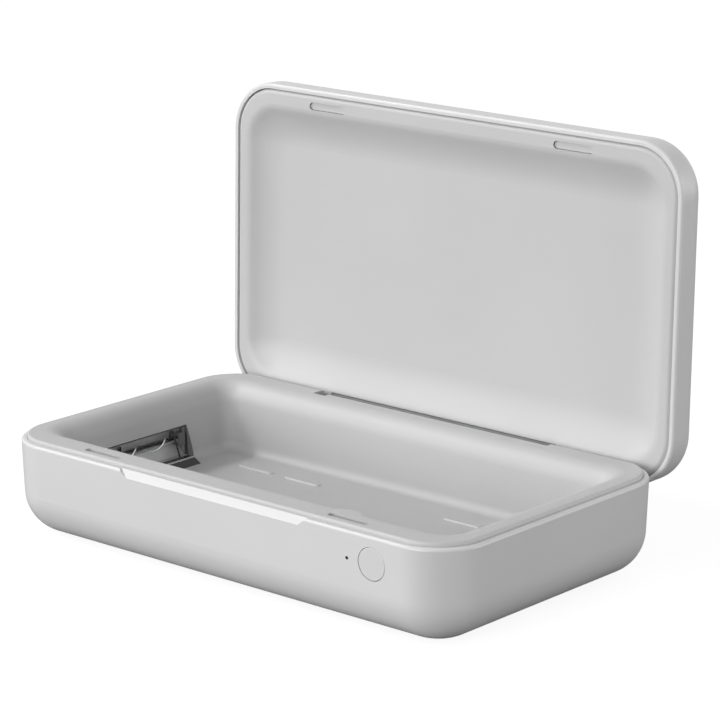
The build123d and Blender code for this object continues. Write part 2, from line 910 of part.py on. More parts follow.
# ---- Power button ----
with BuildPart() as power_button:
    with BuildSketch(inward_plane):
        Circle(button_radius)
    extrude(amount=flange_depth)
    cap_face = power_button.faces().sort_by(Axis(inward_plane.origin, inward_plane.z_dir))[0]
    fillet(cap_face.edges(), button_edge)
    with BuildSketch(inward_plane.offset(flange_depth)):
        Circle(flange_radius)
    extrude(amount=flange_thickness)
    with BuildSketch(inward_plane.offset(stem_depth)):
        Circle(stem_radius)
    extrude(amount=stem_length)

power_button.part.label = "power_button"
export_step(power_button.part, "parts/power_button.step")

with BuildPart() as switch_plunger:
    with BuildSketch(inward_plane.offset(plunger_depth)):
        Circle(plunger_radius)
    extrude(amount=switch_depth - plunger_depth + plunger_reach)

switch_plunger.part.label = "switch_plunger"
export_step(switch_plunger.part, "parts/switch_plunger.step")

with BuildPart() as switch_body:
    with BuildSketch(inward_plane.offset(switch_depth)):
        Rectangle(switch_side, switch_side)
    extrude(amount=switch_height)
    with BuildSketch(inward_plane.offset(switch_depth)):
        Circle(plunger_radius + plunger_gap)
    extrude(amount=switch_height - switch_wall, mode=Mode.SUBTRACT)

switch_body.part.label = "switch_body"
export_step(switch_body.part, "parts/switch_body.step")

button_board_left = -button_post_left - button_board_margin
button_board_right = button_post_right + button_board_margin
with BuildPart() as button_board:
    with BuildSketch(inward_plane.offset(button_board_depth)):
        with Locations(((button_board_left + button_board_right) / 2, 0)):
            Rectangle(button_board_right - button_board_left, button_board_height)
        with Locations(*button_posts):
            Circle(small_screw_radius + screw_free_gap, mode=Mode.SUBTRACT)
    extrude(amount=button_board_thickness)

button_board.part.label = "button_board"
export_step(button_board.part, "parts/button_board.step")

button_back = button_board_depth + button_board_thickness
button_board_screws = screws(
    Plane(
        origin=inward_plane.offset(button_back).origin,
        x_dir=(1, 0, 0),
        z_dir=button_plane.z_dir,
    ),
    button_posts,
    small_screw_radius,
    small_head_radius,
    small_head_height,
    button_board_thickness + button_pilot - screw_free_gap,
)
button_board_screws.label = "button_board_screws"
export_step(button_board_screws, "parts/button_board_screws.step")

with BuildPart() as led_light_pipe:
    with BuildSketch(inward_plane):
        with Locations(light_spot):
            Circle(light_radius)
    extrude(amount=button_board_depth - diode_height)
    with BuildSketch(inward_plane.offset(flange_depth)):
        with Locations(light_spot):
            Circle(light_flange)
    extrude(amount=flange_thickness)

led_light_pipe.part.label = "led_light_pipe"
export_step(led_light_pipe.part, "parts/led_light_pipe.step")

status_led = pads(
    inward_plane.offset(button_board_depth - diode_height),
    [light_spot],
    diode_length,
    diode_width,
    diode_height,
)
status_led.label = "status_led"
export_step(status_led, "parts/status_led.step")

# ---- Lamp units ----
cover_low_z = pocket_low_z + cover_gap
cover_high_z = pocket_high_z - cover_top_gap
lamp_x = wall_x - lamp_inset
lamp_z = floor_z + lamp_height
cover_inner_x = wall_x - cover_top_inset + cover_lap
reflector_low_z = pocket_low_z + reflector_margin
reflector_high_z = pocket_high_z - reflector_margin

for side, side_name in ((-1, "left"), (1, "right")):
    cover_line = [
        (side * (wall_x - cover_foot_inset), cover_low_z),
        (side * (wall_x - cover_middle_inset), pocket_low_z + cover_middle_height - pocket_low),
        (side * (wall_x - cover_top_inset), cover_high_z),
    ]
    wall_shift = side * cover_wall

    with BuildPart() as lamp_cover:
        with BuildSketch(Plane.XZ):
            with BuildLine():
                front = ThreePointArc(*cover_line)
                back = ThreePointArc(*[(x + wall_shift, z) for x, z in cover_line])
                Line(front @ 0, back @ 0)
                Line(front @ 1, back @ 1)
            make_face()
        extrude(amount=cover_half, both=True)
        # the end walls reach back into the pocket
        for end in (-1, 1):
            with BuildSketch(Plane.XZ.offset(end * (cover_half - cover_wall / 2))):
                with BuildLine():
                    front = ThreePointArc(*cover_line)
                    Polyline(
                        front @ 1,
                        (side * cover_inner_x, cover_high_z),
                        (side * cover_inner_x, cover_low_z),
                        front @ 0,
                    )
                make_face()
            extrude(amount=cover_wall / 2, both=True)
    lamp_cover.part.label = f"lamp_cover_{side_name}"
    export_step(lamp_cover.part, f"parts/lamp_cover_{side_name}.step")

    with BuildPart() as lamp_sill:
        with BuildSketch(Plane.XZ):
            with BuildLine():
                Polyline(*[(side * x, z) for x, z in sill_points], close=True)
            make_face()
        extrude(amount=cover_half, both=True)
    lamp_sill.part.label = f"lamp_sill_{side_name}"
    export_step(lamp_sill.part, f"parts/lamp_sill_{side_name}.step")

    reflector_line = [
        (side * (wall_x - reflector_edge_inset), reflector_low_z),
        (side * (wall_x - reflector_back_inset), (reflector_low_z + reflector_high_z) / 2),
        (side * (wall_x - reflector_edge_inset), reflector_high_z),
    ]
    with BuildPart() as lamp_reflector:
        with BuildSketch(Plane.XZ):
            with BuildLine():
                front = ThreePointArc(*reflector_line)
                back = ThreePointArc(*[(x - side * reflector_wall, z) for x, z in reflector_line])
                Line(front @ 0, back @ 0)
                Line(front @ 1, back @ 1)
            make_face()
        extrude(amount=reflector_half, both=True)
    lamp_reflector.part.label = f"lamp_reflector_{side_name}"
    export_step(lamp_reflector.part, f"parts/lamp_reflector_{side_name}.step")

    with BuildPart() as lamp_tube:
        with BuildSketch(Plane.XZ):
            with Locations((side * lamp_x, lamp_z)):
                Circle(tube_radius)
        extrude(amount=tube_half, both=True)
        fillet(lamp_tube.edges(), tube_radius / 2)
    lamp_tube.part.label = f"lamp_tube_{side_name}"
    export_step(lamp_tube.part, f"parts/lamp_tube_{side_name}.step")

    # the coil starts at the back of the tube
    coil_end = (side * lamp_x, -coil_pitch * coil_turns / 2, lamp_z)
    with BuildPart() as lamp_coil:
        with BuildLine() as turns:
            Helix(
                coil_pitch,
                coil_pitch * coil_turns,
                coil_radius,
                center=coil_end,
                direction=(0, 1, 0),
                lefthand=True,
            )
        with BuildSketch(Plane(origin=turns.line @ 0, z_dir=turns.line % 0)):
            Circle(coil_wire)
        sweep(is_frenet=True)
    coil = lamp_coil.part.rotate(Axis(coil_end, (0, 1, 0)), coil_phase[side_name])
    coil.label = f"lamp_coil_{side_name}"
    export_step(coil, f"parts/lamp_coil_{side_name}.step")

    with BuildPart() as lamp_holders:
        for end in (-1, 1):
            with BuildSketch(Plane.XZ.offset(end * (holder_near + holder_far) / 2)):
                with Locations((side * (lamp_x + (holder_back - holder_front) / 2), lamp_z)):
                    Rectangle(holder_front + holder_back, 2 * holder_half_height)
            extrude(amount=(holder_far - holder_near) / 2, both=True)
        with BuildSketch(Plane.XZ):
            with Locations((side * lamp_x, lamp_z)):
                Circle(tube_radius + holder_gap)
        extrude(amount=tube_half + holder_gap, both=True, mode=Mode.SUBTRACT)
    lamp_holders.part.label = f"lamp_holders_{side_name}"
    export_step(lamp_holders.part, f"parts/lamp_holders_{side_name}.step")

    # hook-shaped wires from the tube's ends down to the sill
    hooks = []
    top_z = lamp_z + terminal_rise
    hook_near = terminal_y - terminal_hook
    hook_far = terminal_y + terminal_splay
    for end in (-1, 1):
        hooks.append(
            wire(
                [
                    (side * (lamp_x - 2 * terminal_step), end * hook_near, lamp_z + tube_radius),
                    (side * (lamp_x - 3 * terminal_step), end * (hook_near + terminal_step), top_z),
                    (side * (lamp_x - 4 * terminal_step), end * terminal_y, top_z),
                    (side * (lamp_x - terminal_lean), end * hook_far, pocket_low_z + terminal_foot),
                ],
                terminal_bend,
                terminal_radius,
            )
        )
    with BuildPart() as lamp_terminals:
        for hook in hooks:
            add(hook)
    lamp_terminals.part.label = f"lamp_terminals_{side_name}"
    export_step(lamp_terminals.part, f"parts/lamp_terminals_{side_name}.step")

# ---- Main board ----
board_top = board_z + board_thickness
board_x = (board_left + board_right) / 2
with BuildPart() as main_board:
    with BuildSketch(Plane.XY.offset(board_z)):
        with Locations((board_x, 0)):
            Rectangle(board_right - board_left, 2 * board_half_depth)
        with Locations(*board_posts):
            Circle(small_screw_radius + screw_free_gap, mode=Mode.SUBTRACT)
    extrude(amount=board_thickness)
main_board.part.label = "main_board"
export_step(main_board.part, "parts/main_board.step")

board_screws = screws(
    facing_down(board_top),
    [(x, -y) for x, y in board_posts],
    small_screw_radius,
    small_head_radius,
    small_head_height,
    board_thickness + board_pilot - screw_free_gap,
)
board_screws.label = "board_screws"
export_step(board_screws, "parts/board_screws.step")

on_board = Plane.XY.offset(board_top)
transformer_spots = [(board_x - transformer_apart, 0), (board_x + transformer_apart, 0)]
lamp_transformers = pads(
    on_board, transformer_spots, transformer_length, transformer_width, transformer_height
)
lamp_transformers.label = "lamp_transformers"
export_step(lamp_transformers, "parts/lamp_transformers.step")
chip_spots = [(board_x, -chip_row), (board_x, chip_row)]
control_chips = pads(on_board, chip_spots, chip_side, chip_side, chip_height)
control_chips.label = "control_chips"
export_step(control_chips, "parts/control_chips.step")

# Leads leave connectors at the board's edges and run under the tray.
lead_z = board_top + lead_rise
pocket_under = pocket_low_z - pocket_wall
lead_x = wall_x - lead_inset
lead_bend = pocket_under - lead_z - lead_straight
cable_bend = inlet_board_z - connector_height - lead_z - lead_straight
board_ends = ((-1, "left", board_left), (1, "right", board_right))
lamp_plugs = [
    (edge - side * connector_length / 2, end * terminal_y)
    for side, side_name, edge in board_ends
    for end in (-1, 1)
]
square_connector = (connector_width, connector_width, connector_height)
with BuildPart() as board_connectors:
    add(pads(on_board, lamp_plugs, connector_length, connector_width, connector_height))
    for x, side in ((button_plug_x, -1), (inlet_plug_x, 1)):
        spot = (x, side * (board_half_depth - connector_length / 2))
        add(pads(on_board, [spot], connector_width, connector_length, connector_height))
    button_plug = (back_plug_x, 0)
    add(pads(inward_plane.offset(button_back), [button_plug], *square_connector))
    inlet_plug_y = inlet_board_back - inlet_board_length + connector_width / 2
    add(pads(facing_down(inlet_board_z), [(inlet_x, -inlet_plug_y)], *square_connector))
board_connectors.part.label = "board_connectors"
export_step(board_connectors.part, "parts/board_connectors.step")

for side, side_name, edge in board_ends:
    leads = []
    for end in (-1, 1):
        route = [
            (edge, end * terminal_y, lead_z),
            (side * lead_x, end * terminal_y, lead_z),
            (side * lead_x, end * terminal_y, pocket_under),
        ]
        leads.append(wire(route, lead_bend, lead_radius))
    with BuildPart() as lamp_leads:
        for lead in leads:
            add(lead)
    lamp_leads.part.label = f"lamp_leads_{side_name}"
    export_step(lamp_leads.part, f"parts/lamp_leads_{side_name}.step")

button_end = inward_plane.from_local_coords(
    Vector(back_plug_x, connector_width / 2, button_back + connector_height / 2)
)
button_turn = inward_plane.from_local_coords(
    Vector(back_plug_x, connector_width / 2 + cable_drop, button_back + connector_height / 2)
)
button_cable = wire(
    [
        (button_plug_x, -board_half_depth, lead_z),
        (button_plug_x, -board_half_depth - cable_run, lead_z),
        button_turn,
        button_end,
    ],
    cable_bend,
    cable_radius,
)
button_cable.label = "button_cable"
export_step(button_cable, "parts/button_cable.step")

inlet_cable = wire(
    [
        (inlet_plug_x, board_half_depth, lead_z),
        (inlet_plug_x, board_half_depth + cable_run, lead_z),
        (inlet_x, inlet_plug_y, lead_z),
        (inlet_x, inlet_plug_y, inlet_board_z - connector_height),
    ],
    cable_bend,
    cable_radius,
)
inlet_cable.label = "inlet_cable"
export_step(inlet_cable, "parts/inlet_cable.step")

# ---- Charging inlet ----
inlet_plane = Plane(origin=(inlet_x, inlet_mouth_y, inlet_z), x_dir=(1, 0, 0), z_dir=(0, -1, 0))
with BuildPart() as inlet_socket:
    with BuildSketch(inlet_plane):
        SlotOverall(inlet_width, inlet_height)
    extrude(amount=inlet_length)
    with BuildSketch(inlet_plane):
        SlotOverall(inlet_width - 2 * inlet_wall, inlet_height - 2 * inlet_wall)
    extrude(amount=inlet_length - inlet_back_wall, mode=Mode.SUBTRACT)
    with BuildSketch(inlet_plane.offset(inlet_tongue_setback)):
        Rectangle(inlet_tongue_width, inlet_tongue_height)
    extrude(amount=inlet_length - inlet_tongue_setback - inlet_back_wall / 2)
inlet_socket.part.label = "inlet_socket"
export_step(inlet_socket.part, "parts/inlet_socket.step")

with BuildPart() as inlet_board:
    with BuildSketch(Plane.XY.offset(inlet_board_z)):
        with Locations((inlet_x, inlet_board_y)):
            Rectangle(inlet_board_width, inlet_board_length)
        with Locations(*inlet_posts):
            Circle(small_screw_radius + screw_free_gap, mode=Mode.SUBTRACT)
    extrude(amount=inlet_board_thickness)
inlet_board.part.label = "inlet_board"
export_step(inlet_board.part, "parts/inlet_board.step")

inlet_screws = screws(
    facing_down(inlet_board_z + inlet_board_thickness),
    [(x, -y) for x, y in inlet_posts],
    small_screw_radius,
    small_head_radius,
    small_head_height,
    inlet_board_thickness + inlet_pilot - screw_free_gap,
)
inlet_screws.label = "inlet_screws"
export_step(inlet_screws, "parts/inlet_screws.step")
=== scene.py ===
import math
import bmesh
import bpy
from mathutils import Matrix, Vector


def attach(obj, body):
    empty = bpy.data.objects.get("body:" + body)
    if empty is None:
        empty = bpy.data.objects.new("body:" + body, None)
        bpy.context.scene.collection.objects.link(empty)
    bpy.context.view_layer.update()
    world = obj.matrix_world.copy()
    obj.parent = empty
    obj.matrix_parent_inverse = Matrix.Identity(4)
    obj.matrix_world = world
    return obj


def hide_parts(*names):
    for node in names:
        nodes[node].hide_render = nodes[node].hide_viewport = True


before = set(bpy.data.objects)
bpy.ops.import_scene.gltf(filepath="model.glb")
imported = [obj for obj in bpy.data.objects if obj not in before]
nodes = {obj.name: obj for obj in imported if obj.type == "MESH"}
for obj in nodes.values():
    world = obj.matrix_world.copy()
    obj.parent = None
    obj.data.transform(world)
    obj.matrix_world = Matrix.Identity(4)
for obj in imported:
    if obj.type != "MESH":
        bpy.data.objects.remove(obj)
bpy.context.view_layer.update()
mm = 0.001
sides = {"left": -1, "right": 1}
waveLength = math.pi / 10  # of a wave texture at a scale of one
print("frame loaded")


def linear(hexColour):
    channels = [int(hexColour[i:i + 2], 16) / 255 for i in (1, 3, 5)]
    return [c / 12.92 if c <= 0.04045 else ((c + 0.055) / 1.055) ** 2.4 for c in channels] + [1.0]


def addNode(tree, kind, settings=None, links=None):
    node = tree.nodes.new(kind)
    for name, value in (settings or {}).items():
        if isinstance(name, int) or name in node.inputs:
            node.inputs[name].default_value = value
        else:
            setattr(node, name, value)
    for name, source in (links or {}).items():
        tree.links.new(source, node.inputs[name])
    return node


def newMaterial(name):
    material = bpy.data.materials.new(name)
    material.use_nodes = True
    material.node_tree.nodes.clear()
    return material, material.node_tree


def uneven(tree, place, low, high, size, detail=1.0):
    # a value that wanders between two others over patches of a size in mm
    cloud = addNode(tree, "ShaderNodeTexNoise", {"Scale": 1 / (size * mm), "Detail": detail},
                    {"Vector": place})
    # noise runs from about 0.3 to 0.7
    reach = {"From Min": 0.3, "From Max": 0.7, "To Min": low, "To Max": high}
    return addNode(tree, "ShaderNodeMapRange", reach, {"Value": cloud.outputs[0]}).outputs[0]


def relief(tree, place, depth, size, detail=1.0):
    # a skin that rises and sinks by a depth over grains of a size, both in mm
    grain = addNode(tree, "ShaderNodeTexNoise", {"Scale": 1 / (size * mm), "Detail": detail},
                    {"Vector": place})
    return addNode(tree, "ShaderNodeBump", {"Distance": depth * mm}, {"Height": grain.outputs[0]}).outputs[0]


def shade(hexColour, factor):
    return "#" + "".join("%02X" % min(255, round(int(hexColour[i:i + 2], 16) * factor)) for i in (1, 3, 5))


def nodeBox(name):
    corners = [nodes[name].matrix_world @ Vector(corner) for corner in nodes[name].bound_box]
    low = Vector([min(corner[i] for corner in corners) for i in range(3)])
    high = Vector([max(corner[i] for corner in corners) for i in range(3)])
    return low, high


def bothSides(name):
    return [f"{name}_{side}" for side in sides]


def seenDirectly(tree, *rays):
    # one for the named kinds of ray, so that those see white paper
    path = addNode(tree, "ShaderNodeLightPath")
    seen = path.outputs[rays[0]]
    for ray in rays[1:]:
        both = addNode(tree, "ShaderNodeMath", {"operation": "MAXIMUM"}, {0: seen, 1: path.outputs[ray]})
        seen = both.outputs[0]
    return seen


camera = {
    "place": (781.29, -882.08, 391.41),  # mm
    "yaw": 0.7146,  # radians, as is the pitch
    "pitch": 0.2603,
    "lens": 157.7,
    "sensor": 36.0,
    "sight": 50.0,  # m
}


def buildCamera():
    lens = bpy.data.cameras.new("studioCamera")
    lens.lens = camera["lens"]
    lens.sensor_width = camera["sensor"]
    lens.clip_end = camera["sight"]
    stand = bpy.data.objects.new("studioCamera", lens)
    stand.location = Vector(camera["place"]) * mm
    stand.rotation_euler = (math.pi / 2 - camera["pitch"], 0, camera["yaw"])
    bpy.context.scene.collection.objects.link(stand)
    bpy.context.scene.camera = stand


studio = {
    "floorSize": 9000.0,  # mm
    "floorColour": "#8C8C8C",
    "floorWhite": 0.88,  # added to what the lens sees of the floor, so that only shadows show
    "fillColour": "#FFFFFF",
    "fillStrength": 0.3,
}


def whitePaper():
    # a paper sweep: matt, and lifted to plain white for the lens, so that only shadows show on it
    material, tree = newMaterial("whitePaper")
    paper = addNode(tree, "ShaderNodeBsdfDiffuse", {"Color": linear(studio["floorColour"])})
    lift = addNode(tree, "ShaderNodeMath", {"operation": "MULTIPLY", 1: studio["floorWhite"]},
                   {0: seenDirectly(tree, "Is Camera Ray", "Is Transmission Ray")})
    white = addNode(tree, "ShaderNodeEmission", {"Color": (1, 1, 1, 1)}, {"Strength": lift.outputs[0]})
    both = addNode(tree, "ShaderNodeAddShader", links={0: paper.outputs[0], 1: white.outputs[0]})
    addNode(tree, "ShaderNodeOutputMaterial", links={"Surface": both.outputs[0]})
    return material


def buildFloor():
    mesh = bpy.data.meshes.new("paperFloor")
    shape = bmesh.new()
    bmesh.ops.create_grid(shape, x_segments=1, y_segments=1, size=studio["floorSize"] / 2 * mm)
    shape.to_mesh(mesh)
    shape.free()
    mesh.materials.append(whitePaper())
    floor = bpy.data.objects.new("paperFloor", mesh)
    bpy.context.scene.collection.objects.link(floor)


def buildWorld():
    world = bpy.data.worlds.new("studioWorld")
    bpy.context.scene.world = world
    world.use_nodes = True
    tree = world.node_tree
    tree.nodes.clear()
    fill = addNode(tree, "ShaderNodeBackground",
                   {"Color": linear(studio["fillColour"]), "Strength": studio["fillStrength"]})
    white = addNode(tree, "ShaderNodeBackground", {"Color": (1, 1, 1, 1), "Strength": 1.0})
    seen = seenDirectly(tree, "Is Camera Ray", "Is Glossy Ray", "Is Transmission Ray")
    mixed = addNode(tree, "ShaderNodeMixShader", links={0: seen, 1: fill.outputs[0], 2: white.outputs[0]})
    addNode(tree, "ShaderNodeOutputWorld", links={"Surface": mixed.outputs[0]})


# each softbox: degrees round from the front towards the right, degrees up, mm away, mm across, watts
softboxes = {
    "frontLow": {"around": 0, "up": 10, "away": 2400, "across": 1300, "watts": 35.0},
    "frontLeft": {"around": -50, "up": 22, "away": 2400, "across": 1300, "watts": 15.0},
    "rimLeft": {"around": -68, "up": 47, "away": 2400, "across": 320, "watts": 15.5},
    "backRight": {"around": 125, "up": 10, "away": 2400, "across": 1300, "watts": 24.5},
}


def addSoftbox(name, box):
    light = bpy.data.lights.new(name, "AREA")
    light.shape = "SQUARE"
    light.size = box["across"] * mm
    light.energy = box["watts"]
    around, up = math.radians(box["around"]), math.radians(box["up"])
    away = Vector((math.sin(around) * math.cos(up), -math.cos(around) * math.cos(up), math.sin(up)))
    stand = bpy.data.objects.new(name, light)
    stand.location = away * box["away"] * mm
    stand.rotation_euler = away.to_track_quat("Z", "Y").to_euler()
    bpy.context.scene.collection.objects.link(stand)


buildCamera()
buildFloor()
buildWorld()
for boxName, box in softboxes.items():
    addSoftbox(boxName, box)
bpy.context.scene.view_settings.view_transform = "Standard"
print("studio ready")


def mouldedPlastic(name, look, paint=None):
    # a spark-eroded mould leaves a fine even grain, so its gloss breaks up softly
    material, tree = newMaterial(name)
    place = addNode(tree, "ShaderNodeTexCoord").outputs["Object"]
    colour = addNode(tree, "ShaderNodeMixRGB",
                     {1: linear(shade(look["colour"], 0.985)), 2: linear(look["colour"])},
                     {0: uneven(tree, place, 0.0, 1.0, size=60.0, detail=2.0)}).outputs[0]
    if paint:
        colour = paint(tree, place, colour)
    gloss = uneven(tree, place, look["roughness"] - 0.03, look["roughness"] + 0.03, look["grain"])
    skin = addNode(tree, "ShaderNodeBsdfPrincipled", {"IOR": 1.53},
                   {"Base Color": colour, "Roughness": gloss,
                    "Normal": relief(tree, place, look["grainDepth"], look["grain"])})
    addNode(tree, "ShaderNodeOutputMaterial", links={"Surface": skin.outputs[0]})
    return material


# the ribs on the chamber's floor, in mm: the middle of each pair of columns and of each row and how far
# their sides lie from it; a face is a side where its normal rises less than the steepness; colour is their
# painted highlight
ribHighlightLook = {
    "colour": "#F6F6F6",
    "column": 54.9,
    "halfLength": 23.0,
    "row": 31.3,
    "halfWidth": 1.6,
    "height": 0.85,
    "steepness": 0.5,
}


def paintedHighlightRibSides(tree, place, colour):
    # the phone ribs' steep sides are painted paler than the floor: a painted highlight where light catches
    # them
    floor = nodeBox("lamp_sill_left")[0].z
    rise = ribHighlightLook["height"] * mm / 2
    reaches = {
        "X": (ribHighlightLook["column"] * mm, ribHighlightLook["halfLength"] * mm),
        "Y": (ribHighlightLook["row"] * mm, ribHighlightLook["halfWidth"] * mm),
        "Z": (floor + rise, rise),
    }
    folded = addNode(tree, "ShaderNodeVectorMath", {"operation": "ABSOLUTE"}, {0: place})
    parts = addNode(tree, "ShaderNodeSeparateXYZ", links={"Vector": folded.outputs[0]})
    facing = addNode(tree, "ShaderNodeNewGeometry").outputs["True Normal"]
    lean = addNode(tree, "ShaderNodeSeparateXYZ", links={"Vector": facing}).outputs["Z"]
    share = addNode(tree, "ShaderNodeMath", {"operation": "COMPARE", 1: 0.0, 2: ribHighlightLook["steepness"]},
                    {0: lean})
    for axis, (middle, reach) in reaches.items():
        near = addNode(tree, "ShaderNodeMath", {"operation": "COMPARE", 1: middle, 2: reach},
                       {0: parts.outputs[axis]})
        share = addNode(tree, "ShaderNodeMath", {"operation": "MULTIPLY"},
                        {0: share.outputs[0], 1: near.outputs[0]})
    return addNode(tree, "ShaderNodeMixRGB", {2: linear(ribHighlightLook["colour"])},
                   {0: share.outputs[0], 1: colour}).outputs[0]


def rubber(name, look):
    # silicone: matt, with a fine pitted grain that holds a little dust
    material, tree = newMaterial(name)
    place = addNode(tree, "ShaderNodeTexCoord").outputs["Object"]
    patches = uneven(tree, place, -0.6, 0.5, size=2.5, detail=4.0)
    dust = addNode(tree, "ShaderNodeClamp", links={0: patches}).outputs[0]
    colour = addNode(tree, "ShaderNodeMixRGB", {1: linear(look["colour"]), 2: linear(look["dust"])},
                     {0: dust}).outputs[0]
    skin = addNode(tree, "ShaderNodeBsdfPrincipled", {"Roughness": look["roughness"], "IOR": 1.41},
                   {"Base Color": colour,
                    "Normal": relief(tree, place, look["grainDepth"], look["grain"], detail=3.0)})
    addNode(tree, "ShaderNodeOutputMaterial", links={"Surface": skin.outputs[0]})
    return material


def clearPart(name, look):
    # a clear moulding: nearly smooth, with faint ripples that bend what is behind
    material, tree = newMaterial(name)
    place = addNode(tree, "ShaderNodeTexCoord").outputs["Object"]
    gloss = uneven(tree, place, look["roughness"], look["roughness"] + 0.04, size=12.0, detail=3.0)
    skin = addNode(tree, "ShaderNodeBsdfPrincipled",
                   {"Base Color": linear(look["colour"]), "IOR": look["index"], "Transmission Weight": 1.0},
                   {"Roughness": gloss,
                    "Normal": relief(tree, place, look["rippleDepth"], look["ripple"], detail=0.0)})
    addNode(tree, "ShaderNodeOutputMaterial", links={"Surface": skin.outputs[0]})
    return material


def clearWall(name, look, low, high):
    # a thin clear wall: the view goes straight through it, its skin gleams, and painted shade darkens its
    # cut edges and the parts that curve away from the lens
    material, tree = newMaterial(name)
    place = addNode(tree, "ShaderNodeTexCoord").outputs["Object"]
    parts = addNode(tree, "ShaderNodeSeparateXYZ", links={"Vector": place})
    # painted shade where the wall turns away from the lens, then along its two ends and its top
    paintedShade = addNode(tree, "ShaderNodeLayerWeight", {"Blend": look["turn"]}).outputs["Facing"]
    for axis, end in (("Y", low.y), ("Y", high.y), ("Z", high.z)):
        near = addNode(tree, "ShaderNodeMath", {"operation": "COMPARE", 1: end, 2: look["edgeWidth"] * mm},
                       {0: parts.outputs[axis]})
        paintedShade = addNode(tree, "ShaderNodeMath", {"operation": "MAXIMUM"},
                       {0: paintedShade, 1: near.outputs[0]}).outputs[0]
    shadedTone = addNode(tree, "ShaderNodeMixRGB", {1: linear(look["colour"]), 2: linear(look["edge"])}, {0: paintedShade})
    passing = addNode(tree, "ShaderNodeBsdfTransparent", links={"Color": shadedTone.outputs[0]})
    scuffs = uneven(tree, place, look["roughness"], look["roughness"] + 0.05, size=3.0, detail=3.0)
    skin = addNode(tree, "ShaderNodeBsdfAnisotropic", {"Color": (1, 1, 1, 1)}, {"Roughness": scuffs})
    # only the side that faces the light or the lens gleams
    behind = addNode(tree, "ShaderNodeNewGeometry").outputs["Backfacing"]
    gleam = addNode(tree, "ShaderNodeMath", {"operation": "SUBTRACT", "use_clamp": True, 0: look["gleam"]},
                    {1: behind})
    rim = addNode(tree, "ShaderNodeFresnel", {"IOR": look["index"]})
    share = addNode(tree, "ShaderNodeMath", {"operation": "MULTIPLY"},
                    {0: rim.outputs[0], 1: gleam.outputs[0]})
    wall = addNode(tree, "ShaderNodeMixShader",
                   links={0: share.outputs[0], 1: passing.outputs[0], 2: skin.outputs[0]})
    # light that falls through it loses almost nothing
    lit = addNode(tree, "ShaderNodeBsdfTransparent", {"Color": (1, 1, 1, 1)})
    falling = addNode(tree, "ShaderNodeLightPath").outputs["Is Shadow Ray"]
    mixed = addNode(tree, "ShaderNodeMixShader", links={0: falling, 1: wall.outputs[0], 2: lit.outputs[0]})
    addNode(tree, "ShaderNodeOutputMaterial", links={"Surface": mixed.outputs[0]})
    return material


def drawnMetal(name, look, along=(1.0, 1.0, 1.0)):
    # fine lines left by drawing or turning, which pull highlights out into streaks
    material, tree = newMaterial(name)
    place = addNode(tree, "ShaderNodeTexCoord").outputs["Object"]
    stretched = addNode(tree, "ShaderNodeMapping", {"Scale": along}, {"Vector": place})
    lines = addNode(tree, "ShaderNodeTexNoise", {"Scale": 1 / (look["line"] * mm), "Detail": 2.0},
                    {"Vector": stretched.outputs[0]}).outputs[0]
    colour = addNode(tree, "ShaderNodeMixRGB",
                     {1: linear(shade(look["colour"], 0.92)), 2: linear(look["colour"])},
                     {0: uneven(tree, place, 0.0, 1.0, size=5.0, detail=3.0)})
    gloss = addNode(tree, "ShaderNodeMapRange",
                    {"From Min": 0.3, "From Max": 0.7,
                     "To Min": look["roughness"] - 0.05, "To Max": look["roughness"] + 0.05},
                    {"Value": lines})
    streaks = addNode(tree, "ShaderNodeBump", {"Distance": look["lineDepth"] * mm}, {"Height": lines})
    skin = addNode(tree, "ShaderNodeBsdfPrincipled", {"Metallic": look["metal"]},
                   {"Base Color": colour.outputs[0], "Roughness": gloss.outputs[0],
                    "Normal": streaks.outputs[0]})
    addNode(tree, "ShaderNodeOutputMaterial", links={"Surface": skin.outputs[0]})
    return material


# mm, but for the share of a cell that its bare pad takes
boardLook = {
    "mask": "#1E5B3C",
    "track": "#2C7A50",
    "pad": "#C9A85A",
    "pitch": 1.6,
    "gap": 0.256,
    "trackDepth": 0.02,
    "padSpacing": 3.52,
    "padShare": 0.16,
    "roughness": 0.35,
}


def circuitBoard(name, look):
    # glass-fibre board: copper tracks raise the green mask a little, and bare pads show between them
    material, tree = newMaterial(name)
    place = addNode(tree, "ShaderNodeTexCoord").outputs["Object"]
    tracks = addNode(tree, "ShaderNodeTexBrick",
                     {"Color1": (1, 1, 1, 1), "Color2": (0.8, 0.8, 0.8, 1), "Mortar": (0, 0, 0, 1),
                      "Scale": 1.0, "Mortar Size": look["gap"] * mm,
                      "Brick Width": look["pitch"] * mm * 5, "Row Height": look["pitch"] * mm},
                     {"Vector": place}).outputs["Color"]
    cells = addNode(tree, "ShaderNodeTexVoronoi",
                    {"Scale": 1 / (look["padSpacing"] * mm), "Randomness": 0.35},
                    {"Vector": place}).outputs["Distance"]
    pads = addNode(tree, "ShaderNodeMath", {"operation": "LESS_THAN", 1: look["padShare"]},
                   {0: cells}).outputs[0]
    mask = addNode(tree, "ShaderNodeMixRGB", {1: linear(look["track"]), 2: linear(look["mask"])},
                   {0: tracks})
    colour = addNode(tree, "ShaderNodeMixRGB", {2: linear(look["pad"])}, {0: pads, 1: mask.outputs[0]})
    raised = addNode(tree, "ShaderNodeBump", {"Distance": look["trackDepth"] * mm}, {"Height": tracks})
    skin = addNode(tree, "ShaderNodeBsdfPrincipled", {"Roughness": look["roughness"], "IOR": 1.5},
                   {"Base Color": colour.outputs[0], "Metallic": pads, "Normal": raised.outputs[0]})
    addNode(tree, "ShaderNodeOutputMaterial", links={"Surface": skin.outputs[0]})
    return material


# mm, but for the share of the length under the tape
ferriteLook = {
    "core": "#2A2A2C",
    "tape": "#D8B13C",
    "length": 20.0,
    "tapeShare": 0.62,
    "wrap": 2.8274,
    "wrapDepth": 0.03,
    "roughness": 0.45,
}


